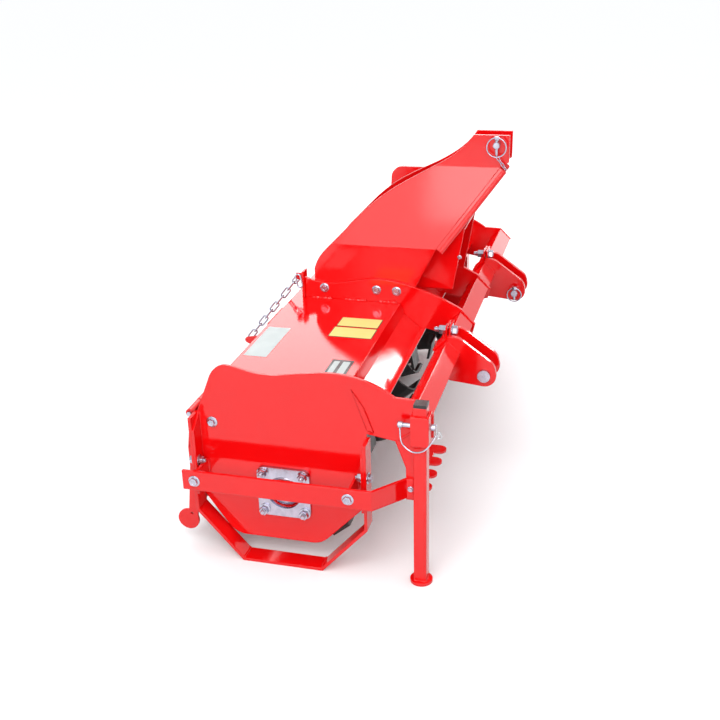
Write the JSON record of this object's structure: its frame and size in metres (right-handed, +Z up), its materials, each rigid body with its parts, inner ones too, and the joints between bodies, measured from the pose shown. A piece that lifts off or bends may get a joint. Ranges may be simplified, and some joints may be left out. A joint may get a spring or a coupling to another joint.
{
  "type": "rotary tiller",
  "caption": "Red rotary tiller for a tractor's three-point hitch, with a tined rotor under a steel hood, a hinged tailboard, side skids, a side drive case and a parking leg.",
  "frame": {"origin": "middle of the footprint, on the floor that the skids and the parking leg stand on", "axes": "+X to the machine's right along the rotor, +Y forward to the tractor, +Z up"},
  "size_m": [1.656, 0.806, 0.975],
  "materials": {
    "red_paint": "gloss",
    "black_paint": "satin",
    "zinc_plate": "satin",
    "bare_steel": "satin",
    "black_plastic": "matte"
  },
  "bodies": {
    "frame": {"bearing_hub_left": "red_paint", "bearing_hub_right": "red_paint", "bearing_plate_right": "zinc_plate", "chain_bracket": "red_paint", "drive_case": "red_paint", "drive_tube": "red_paint", "front_comb_right": "red_paint", "front_drop_right": "red_paint", "front_tube": "red_paint", "gearbox": "red_paint", "guard_bar_left": "red_paint", "guard_bar_right": "red_paint", "guard_bolts_left": "zinc_plate", "guard_bolts_right": "zinc_plate", "guard_stays_left": "red_paint", "guard_stays_right": "red_paint", "hanger_left": "red_paint", "hanger_right": "red_paint", "hinge_rod": "zinc_plate", "hitch_clamp_left": "red_paint", "hitch_clamp_right": "red_paint", "hitch_ears_left": "red_paint", "hitch_ears_right": "red_paint", "hitch_pin_left": "zinc_plate", "hitch_pin_right": "zinc_plate", "hood": "red_paint", "input_shaft": "bare_steel", "input_shield": "red_paint", "leg_pin": "zinc_plate", "leg_sleeve": "red_paint", "mast_wing_left": "red_paint", "mast_wing_right": "red_paint", "side_plate_left": "red_paint", "side_plate_right": "red_paint", "skid_left": "red_paint", "skid_right": "red_paint", "top_link_pin": "zinc_plate"},
    "rotor_body": {"rotor": "black_paint"},
    "tailboard_body": {"tailboard": "red_paint"},
    "leg_body": {"parking_leg": "red_paint", "leg_cap": "black_plastic"},
    "chain_body": {"tail_chain": "zinc_plate"}
  },
  "joints": [
    {"name": "rotor_turn", "type": "hinge", "parent": "frame", "child": "rotor_body", "pos_m": [0, -0.08, 0.2], "axis": [1, 0, 0], "continuous": true},
    {"name": "tailboard_swing", "type": "hinge", "parent": "frame", "child": "tailboard_body", "pos_m": [0, -0.332, 0.39], "axis": [-1, 0, 0], "range_deg": [0, 65]},
    {"name": "leg_slide", "type": "slide", "parent": "frame", "child": "leg_body", "axis": [0, 0, 1], "range_m": [0, 0.2]},
    {"name": "chain_swing", "type": "hinge", "parent": "frame", "child": "chain_body", "pos_m": [0.12, -0.22, 0.568], "axis": [-1, 0, 0], "range_deg": [0, 12.6]}
  ],
  "couplings": [
    {"joint": "chain_swing", "follows": "tailboard_swing", "ratio": 0.193}
  ]
}
